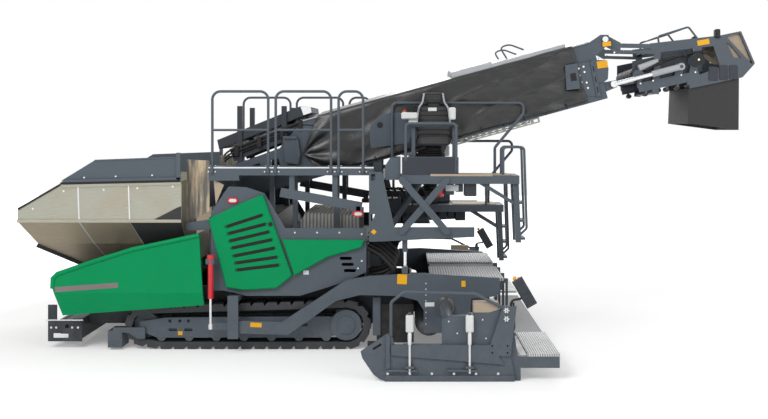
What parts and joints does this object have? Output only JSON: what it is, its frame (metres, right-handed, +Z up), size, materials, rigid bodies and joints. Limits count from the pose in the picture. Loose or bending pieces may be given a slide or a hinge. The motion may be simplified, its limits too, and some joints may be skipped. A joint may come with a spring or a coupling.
{
  "type": "tracked asphalt paver with hopper insert and transfer conveyor",
  "caption": "Asphalt paver on tracks with a steel hopper insert, an inclined transfer conveyor over the machine, lifting operator platforms and an extending screed.",
  "frame": {"origin": "middle of the bounding box on the ground", "axes": "+X from the hopper in front to the discharge head behind, +Y to the machine's right, +Z up"},
  "size_m": [10.0988, 5.94, 4.4325],
  "materials": {
    "green_paint": "gloss paint",
    "grey_paint": "satin paint",
    "dark_paint": "satin paint",
    "stainless": "brushed",
    "track_steel": "worn",
    "red_paint": "gloss paint",
    "ridged_alu": "mill",
    "rod_chrome": "polished",
    "belt_rubber": "matte",
    "sheet_cloth": "coated",
    "seat_cloth": "woven",
    "light_paint": "satin paint"
  },
  "bodies": {
    "tractor": {"chassis_frame": "dark_paint", "engine_block": "track_steel", "engine_hood": "dark_paint", "cooler_cover": "ridged_alu", "side_panels": "grey_paint", "side_fins": "green_paint", "track_left": "track_steel", "track_right": "track_steel", "track_frames": "grey_paint", "hopper_wings": "green_paint", "mix_hopper": "stainless", "hopper_boards": "grey_paint", "throat_plates": "stainless", "tow_posts": "grey_paint", "levelling_barrels": "red_paint", "walkways": "grey_paint", "railings": "grey_paint", "gantry": "grey_paint"},
    "push_bar": {"push_beam": "dark_paint"},
    "push_roller_l": {"push_roller_left": "track_steel"},
    "push_roller_r": {"push_roller_right": "track_steel"},
    "door_l": {"engine_door_left": "green_paint"},
    "door_r": {"engine_door_right": "green_paint"},
    "tow_points": {"tow_blocks": "rod_chrome"},
    "screed": {"tow_arms": "grey_paint", "screed_frame": "grey_paint", "screed_cover": "ridged_alu", "screed_walkway": "dark_paint"},
    "screed_cylinders": {"screed_lift_barrels": "grey_paint"},
    "screed_rods": {"screed_lift_rods": "rod_chrome"},
    "extension_l": {"extension_left": "grey_paint", "end_gate_left": "grey_paint", "extension_step_left": "ridged_alu"},
    "extension_r": {"extension_right": "grey_paint", "end_gate_right": "grey_paint", "extension_step_right": "ridged_alu"},
    "auger_l": {"auger_left": "track_steel"},
    "auger_r": {"auger_right": "track_steel"},
    "boom": {"boom_frame": "grey_paint", "boom_belt": "belt_rubber", "boom_lid": "light_paint", "boom_tarps": "sheet_cloth", "belt_guards": "ridged_alu", "inlet_cover": "dark_paint"},
    "boom_cylinders": {"boom_lift_barrels": "grey_paint"},
    "boom_rods": {"boom_lift_rods": "rod_chrome"},
    "head": {"head_frame": "grey_paint", "head_belt": "belt_rubber", "chute_curtain": "belt_rubber"},
    "head_cylinders": {"fold_barrels": "grey_paint"},
    "head_rods": {"fold_rods": "rod_chrome"},
    "platform_l": {"platform_left": "grey_paint", "seat_left": "seat_cloth"},
    "platform_r": {"platform_right": "grey_paint", "seat_right": "seat_cloth"},
    "scissor_low_l": {"scissor_low_left": "grey_paint"},
    "scissor_high_l": {"scissor_high_left": "grey_paint"},
    "scissor_low_r": {"scissor_low_right": "grey_paint"},
    "scissor_high_r": {"scissor_high_right": "grey_paint"}
  },
  "joints": [
    {"name": "push_beam_swing", "type": "hinge", "parent": "tractor", "child": "push_bar", "pos_m": [-4.57, 0, 0.25], "axis": [0, 0, 1], "range_deg": [-3.5, 3.5]},
    {"name": "push_roller_left_spin", "type": "hinge", "parent": "push_bar", "child": "push_roller_l", "pos_m": [-4.705, 0, 0.25], "axis": [0, 1, 0], "continuous": true},
    {"name": "push_roller_right_spin", "type": "hinge", "parent": "push_bar", "child": "push_roller_r", "pos_m": [-4.705, 0, 0.25], "axis": [0, 1, 0], "continuous": true},
    {"name": "engine_door_left_open", "type": "hinge", "parent": "tractor", "child": "door_l", "pos_m": [-2.185, -1.319, 1.9315], "axis": [-0.9111, 0, -0.4122], "range_deg": [0, 75]},
    {"name": "engine_door_right_open", "type": "hinge", "parent": "tractor", "child": "door_r", "pos_m": [-2.185, 1.319, 1.9315], "axis": [0.9111, 0, 0.4122], "range_deg": [0, 75]},
    {"name": "tow_point_level", "type": "slide", "parent": "tractor", "child": "tow_points", "axis": [0, 0, 1], "range_m": [0, 0.1]},
    {"name": "screed_lift", "type": "hinge", "parent": "tow_points", "child": "screed", "pos_m": [-2.2, 0, 0.34], "axis": [0, -1, 0], "range_deg": [0, 5]},
    {"name": "screed_cylinder_pivot", "type": "hinge", "parent": "tractor", "child": "screed_cylinders", "pos_m": [0.08, 0, 1.595], "axis": [0, 1, 0], "range_deg": [0, 13.81]},
    {"name": "screed_rod_slide", "type": "slide", "parent": "screed_cylinders", "child": "screed_rods", "axis": [0, 0, 1], "range_m": [0, 0.1874]},
    {"name": "screed_extension_left", "type": "slide", "parent": "screed", "child": "extension_l", "axis": [0, 1, 0], "range_m": [0, 1.32]},
    {"name": "screed_extension_right", "type": "slide", "parent": "screed", "child": "extension_r", "axis": [0, -1, 0], "range_m": [0, 1.32]},
    {"name": "auger_left_spin", "type": "hinge", "parent": "tractor", "child": "auger_l", "pos_m": [0.395, 0, 0.36], "axis": [0, 1, 0], "continuous": true},
    {"name": "auger_right_spin", "type": "hinge", "parent": "tractor", "child": "auger_r", "pos_m": [0.395, 0, 0.36], "axis": [0, 1, 0], "continuous": true},
    {"name": "boom_lift", "type": "hinge", "parent": "tractor", "child": "boom", "pos_m": [-2.45, 0, 2.06], "axis": [0, -1, 0], "range_deg": [0, 5]},
    {"name": "boom_cylinder_pivot", "type": "hinge", "parent": "tractor", "child": "boom_cylinders", "pos_m": [-0.12, 0, 1.585], "axis": [0, -1, 0], "range_deg": [0, 7.61]},
    {"name": "boom_rod_slide", "type": "slide", "parent": "boom_cylinders", "child": "boom_rods", "axis": [0.5459, 0, 0.8378], "range_m": [0, 0.1981]},
    {"name": "head_fold", "type": "hinge", "parent": "boom", "child": "head", "pos_m": [2.909, 0, 4.24], "axis": [0, 1, 0], "range_deg": [0, 30]},
    {"name": "fold_cylinder_pivot", "type": "hinge", "parent": "head", "child": "head_cylinders", "pos_m": [3.98, 0, 3.855], "axis": [0, 1, 0], "range_deg": [0, 5.7]},
    {"name": "fold_rod_slide", "type": "slide", "parent": "head_cylinders", "child": "head_rods", "axis": [0.9676, 0, 0.2526], "range_m": [0, 0.3246]},
    {"name": "platform_left_lift", "type": "slide", "parent": "tractor", "child": "platform_l", "axis": [0, 0, 1], "range_m": [-0.55, 0]},
    {"name": "scissor_low_left_turn", "type": "hinge", "parent": "tractor", "child": "scissor_low_l", "pos_m": [0.045, 0, 1.61], "axis": [0, -1, 0], "range_deg": [-40.82, 0]},
    {"name": "scissor_high_left_turn", "type": "hinge", "parent": "platform_l", "child": "scissor_high_l", "pos_m": [0.045, 0, 2.29], "axis": [0, -1, 0], "range_deg": [0, 40.82]},
    {"name": "platform_right_lift", "type": "slide", "parent": "tractor", "child": "platform_r", "axis": [0, 0, 1], "range_m": [0, 0.55]},
    {"name": "scissor_low_right_turn", "type": "hinge", "parent": "tractor", "child": "scissor_low_r", "pos_m": [0.045, 0, 1.61], "axis": [0, -1, 0], "range_deg": [0, 40.82]},
    {"name": "scissor_high_right_turn", "type": "hinge", "parent": "platform_r", "child": "scissor_high_r", "pos_m": [0.045, 0, 1.74], "axis": [0, -1, 0], "range_deg": [-40.82, 0]}
  ],
  "couplings": [
    {"joint": "screed_cylinder_pivot", "follows": "screed_lift", "ratio": 2.7518},
    {"joint": "screed_rod_slide", "follows": "screed_lift", "m_per_rad": 2.1412},
    {"joint": "boom_cylinder_pivot", "follows": "boom_lift", "ratio": 1.5122},
    {"joint": "boom_rod_slide", "follows": "boom_lift", "m_per_rad": 2.2641},
    {"joint": "fold_cylinder_pivot", "follows": "head_fold", "ratio": 0.18829},
    {"joint": "fold_rod_slide", "follows": "head_fold", "m_per_rad": 0.61891},
    {"joint": "scissor_low_left_turn", "follows": "platform_left_lift", "rad_per_m": 1.2937},
    {"joint": "scissor_high_left_turn", "follows": "platform_left_lift", "rad_per_m": -1.2937},
    {"joint": "scissor_low_right_turn", "follows": "platform_right_lift", "rad_per_m": 1.2937},
    {"joint": "scissor_high_right_turn", "follows": "platform_right_lift", "rad_per_m": -1.2937}
  ]
}
